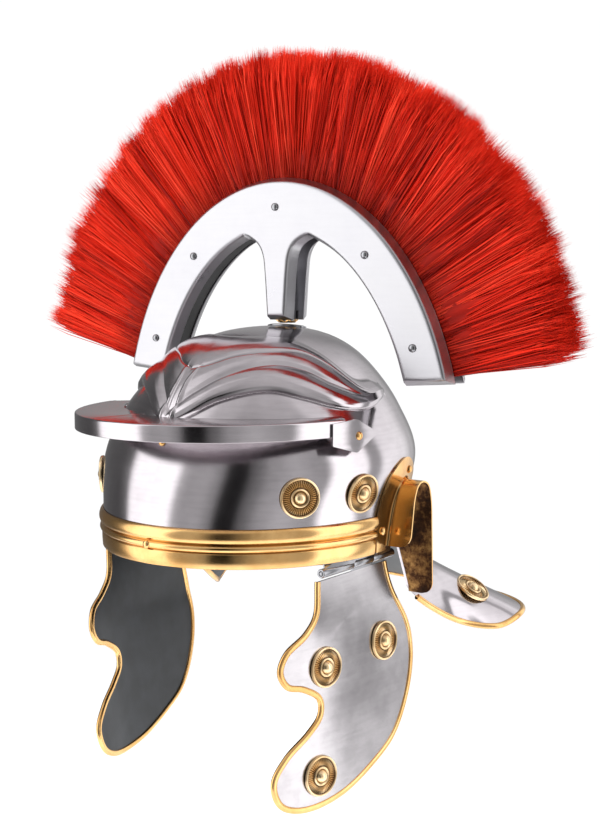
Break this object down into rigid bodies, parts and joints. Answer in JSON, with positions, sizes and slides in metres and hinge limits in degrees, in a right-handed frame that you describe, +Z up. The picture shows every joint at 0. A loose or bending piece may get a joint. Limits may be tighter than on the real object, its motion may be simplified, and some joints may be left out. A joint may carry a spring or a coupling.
{
  "type": "roman legionary helmet",
  "caption": "Steel legionary helmet with raised brows, brass trim, hinged cheek guards, a flared neck guard and an upright red bristle crest set across the head.",
  "frame": {"origin": "centre of the head opening, level with the rim of the bowl", "axes": "+Z up to the crest, -Y the way the face looks, +X the wearer's left"},
  "size_m": [0.4862, 0.3366, 0.5295],
  "materials": {
    "polished_steel": "polished sheet steel, lightly brushed, with faint tarnish",
    "bright_steel": "satin bright steel",
    "brass": "polished brass, darker in the recesses",
    "painted_wood": "black paint on wood",
    "red_bristle": "dense red bristle"
  },
  "bodies": {
    "root": {"bowl": "polished_steel", "bowl_rosette_back_left": "brass", "bowl_rosette_back_right": "brass", "bowl_rosette_front_left": "brass", "bowl_rosette_front_right": "brass", "brow_band": "brass", "brow_band_rivet": "brass", "brow_peak": "polished_steel", "crest_back": "bright_steel", "crest_base_plate": "bright_steel", "crest_block": "painted_wood", "crest_cover": "bright_steel", "crest_fitting": "bright_steel", "crest_hair": "red_bristle", "crest_rivet_1": "bright_steel", "crest_rivet_2": "bright_steel", "crest_rivet_3": "bright_steel", "crest_rivet_4": "bright_steel", "crest_rivet_5": "bright_steel", "crest_washer": "brass", "ear_guard_left": "brass", "ear_guard_right": "brass", "ear_rivet_high_left": "brass", "ear_rivet_high_right": "brass", "ear_rivet_low_left": "brass", "ear_rivet_low_right": "brass", "hinge_leaf_left": "bright_steel", "hinge_leaf_right": "bright_steel", "hinge_pin_left": "bright_steel", "hinge_pin_right": "bright_steel", "neck_rosette_left": "brass", "neck_rosette_right": "brass", "neck_trim": "brass", "peak_end_plate_left": "polished_steel", "peak_end_plate_right": "polished_steel", "peak_end_rivet_left": "brass", "peak_end_rivet_right": "brass", "peak_stud": "brass"},
    "cheek_left": {"cheek_guard_left": "polished_steel", "cheek_rosette_left_1": "brass", "cheek_rosette_left_2": "brass", "cheek_rosette_left_3": "brass", "cheek_trim_left": "brass"},
    "cheek_right": {"cheek_guard_right": "polished_steel", "cheek_rosette_right_1": "brass", "cheek_rosette_right_2": "brass", "cheek_rosette_right_3": "brass", "cheek_trim_right": "brass"}
  },
  "joints": [
    {"name": "cheek_hinge_left", "type": "hinge", "parent": "root", "child": "cheek_left", "pos_m": [0.098, 0, -0.0065], "axis": [0, -1, 0], "range_deg": [-18, 87]},
    {"name": "cheek_hinge_right", "type": "hinge", "parent": "root", "child": "cheek_right", "pos_m": [-0.098, 0, -0.0065], "axis": [0, 1, 0], "range_deg": [-6, 99]}
  ]
}
